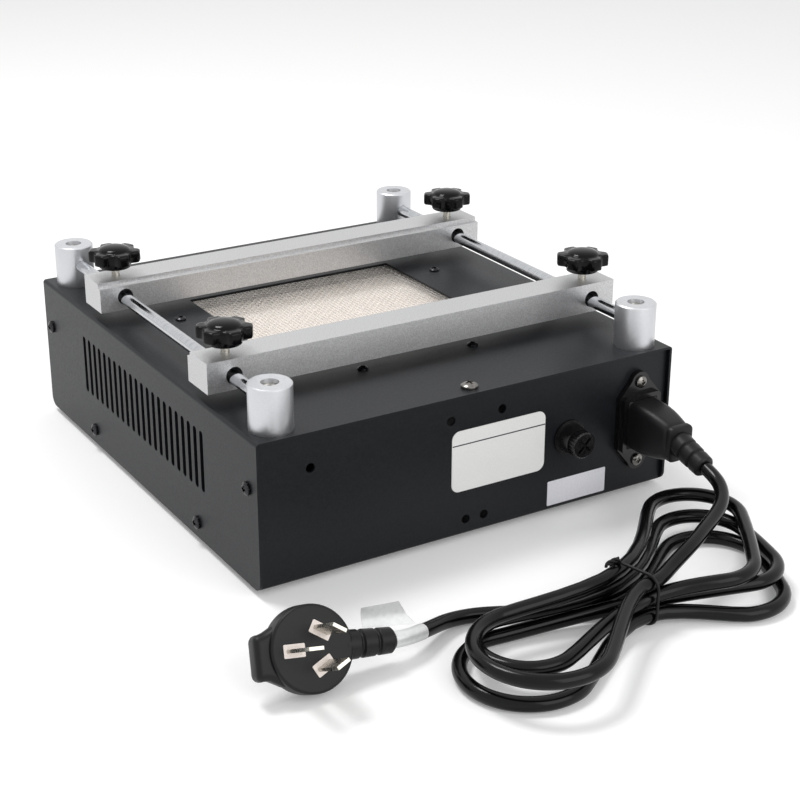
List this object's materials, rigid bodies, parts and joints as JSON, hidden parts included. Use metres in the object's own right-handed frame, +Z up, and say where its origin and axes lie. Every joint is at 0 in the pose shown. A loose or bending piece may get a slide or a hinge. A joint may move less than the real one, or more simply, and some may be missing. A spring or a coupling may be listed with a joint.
{
  "type": "pcb preheater",
  "caption": "Bench preheater for circuit boards: black steel box with a mesh-covered ceramic heater, two sliding aluminium clamp bars on guide rods, front controls and a tied mains lead.",
  "frame": {"origin": "on the surface that the feet stand on, under the middle of the object without its cord", "axes": "+Z up, -Y out of the front panel with the controls, +X to the user's right, so the mains inlet is at the rear, +Y"},
  "size_m": [0.2621, 0.3919, 0.1086],
  "materials": {
    "painted_steel": "black satin powder coat on folded sheet",
    "rubber": "black rubber",
    "black_screw": "blackened steel",
    "nickel": "nickel-plated steel",
    "aluminium": "fine blasted and clear anodised",
    "chrome_rod": "polished chrome-plated rod",
    "knob_plastic": "glossy black moulded plastic",
    "mesh_wire": "stainless wire mesh",
    "ceramic": "unglazed cream ceramic",
    "fibre_felt": "white ceramic fibre felt",
    "galvanised": "galvanised sheet",
    "circuit_board": "green solder mask",
    "core": "varnished laminated core",
    "black_plastic": "satin black moulded plastic",
    "display_pane": "dark red transparent pane",
    "pale_plastic": "pale grey plastic",
    "brass": "bright brass",
    "fuse_glass": "clear glass",
    "cord_pvc": "glossy black flexible sheath"
  },
  "bodies": {
    "housing": {"cover": "painted_steel", "chassis": "painted_steel", "rubber_feet": "rubber", "foot_screws": "nickel", "side_screws": "black_screw", "top_screws": "nickel", "post_front_left": "aluminium", "post_front_right": "aluminium", "post_rear_left": "aluminium", "post_rear_right": "aluminium", "post_screws": "nickel", "post_nuts": "nickel", "guide_rod_left": "chrome_rod", "guide_rod_right": "chrome_rod", "heater_mesh": "mesh_wire", "heater_screws": "black_screw", "heater_tray": "galvanised", "ceramic_heater": "ceramic", "heater_insulation": "fibre_felt", "thermocouple": "nickel", "control_board": "circuit_board", "board_standoffs": "nickel", "transformer": "core", "heatsink": "aluminium", "triac": "black_plastic", "display_board": "circuit_board", "display_standoffs": "nickel", "display_module": "black_plastic", "display_window": "display_pane", "tact_switches": "black_plastic", "switch_body": "black_plastic", "inlet_body": "black_plastic", "inlet_pins": "brass", "inlet_screws": "nickel", "fuse_holder": "black_plastic", "fuse_nut": "black_plastic", "mains_connector": "black_plastic", "cord_lead": "cord_pvc", "cord_hank": "cord_pvc", "cord_tail": "cord_pvc", "cord_tie": "black_plastic", "plug_body": "black_plastic", "plug_pins": "nickel"},
    "front_bar": {"clamp_bar_front": "aluminium"},
    "rear_bar": {"clamp_bar_rear": "aluminium"},
    "rocker": {"power_rocker": "knob_plastic"},
    "up_button": {"button_up": "pale_plastic"},
    "down_button": {"button_down": "pale_plastic"},
    "fuse_cap": {"fuse_cap": "black_plastic", "fuse_link": "fuse_glass"},
    "screw_front_left": {"stud_front_left": "nickel"},
    "knob_front_left": {"knob_front_left": "knob_plastic"},
    "screw_front_right": {"stud_front_right": "nickel"},
    "knob_front_right": {"knob_front_right": "knob_plastic"},
    "screw_rear_left": {"stud_rear_left": "nickel"},
    "knob_rear_left": {"knob_rear_left": "knob_plastic"},
    "screw_rear_right": {"stud_rear_right": "nickel"},
    "knob_rear_right": {"knob_rear_right": "knob_plastic"}
  },
  "joints": [
    {"name": "front_bar_slide", "type": "slide", "parent": "housing", "child": "front_bar", "axis": [0, 1, 0], "range_m": [-0.037, 0.048]},
    {"name": "rear_bar_slide", "type": "slide", "parent": "housing", "child": "rear_bar", "axis": [0, 1, 0], "range_m": [-0.048, 0.0235]},
    {"name": "screw_front_left_lift", "type": "slide", "parent": "front_bar", "child": "screw_front_left", "axis": [0, 0, 1], "range_m": [0, 0.0014]},
    {"name": "knob_front_left_turn", "type": "hinge", "parent": "screw_front_left", "child": "knob_front_left", "pos_m": [-0.0965, -0.0589, 0.0975], "axis": [0, 0, 1], "range_deg": [0, 720]},
    {"name": "screw_front_right_lift", "type": "slide", "parent": "front_bar", "child": "screw_front_right", "axis": [0, 0, 1], "range_m": [0, 0.0014]},
    {"name": "knob_front_right_turn", "type": "hinge", "parent": "screw_front_right", "child": "knob_front_right", "pos_m": [0.0965, -0.0589, 0.0975], "axis": [0, 0, 1], "range_deg": [0, 720]},
    {"name": "screw_rear_left_lift", "type": "slide", "parent": "rear_bar", "child": "screw_rear_left", "axis": [0, 0, 1], "range_m": [0, 0.0014]},
    {"name": "knob_rear_left_turn", "type": "hinge", "parent": "screw_rear_left", "child": "knob_rear_left", "pos_m": [-0.0965, 0.0633, 0.0975], "axis": [0, 0, 1], "range_deg": [0, 720]},
    {"name": "screw_rear_right_lift", "type": "slide", "parent": "rear_bar", "child": "screw_rear_right", "axis": [0, 0, 1], "range_m": [0, 0.0014]},
    {"name": "knob_rear_right_turn", "type": "hinge", "parent": "screw_rear_right", "child": "knob_rear_right", "pos_m": [0.0965, 0.0633, 0.0975], "axis": [0, 0, 1], "range_deg": [0, 720]},
    {"name": "power_rocker_tilt", "type": "hinge", "parent": "housing", "child": "rocker", "pos_m": [-0.08, -0.12695, 0.038], "axis": [1, 0, 0], "range_deg": [-18, 0]},
    {"name": "button_up_press", "type": "slide", "parent": "housing", "child": "up_button", "axis": [0, 1, 0], "range_m": [0, 0.0006], "stiffness_N_per_m": 2500},
    {"name": "button_down_press", "type": "slide", "parent": "housing", "child": "down_button", "axis": [0, 1, 0], "range_m": [0, 0.0006], "stiffness_N_per_m": 2500},
    {"name": "fuse_cap_turn", "type": "hinge", "parent": "housing", "child": "fuse_cap", "pos_m": [-0.0526, 0.11565, 0.0387], "axis": [0, 1, 0], "range_deg": [0, 90]}
  ],
  "couplings": [
    {"joint": "screw_front_left_lift", "follows": "knob_front_left_turn", "m_per_rad": 0.0001114},
    {"joint": "screw_front_right_lift", "follows": "knob_front_right_turn", "m_per_rad": 0.0001114},
    {"joint": "screw_rear_left_lift", "follows": "knob_rear_left_turn", "m_per_rad": 0.0001114},
    {"joint": "screw_rear_right_lift", "follows": "knob_rear_right_turn", "m_per_rad": 0.0001114}
  ]
}
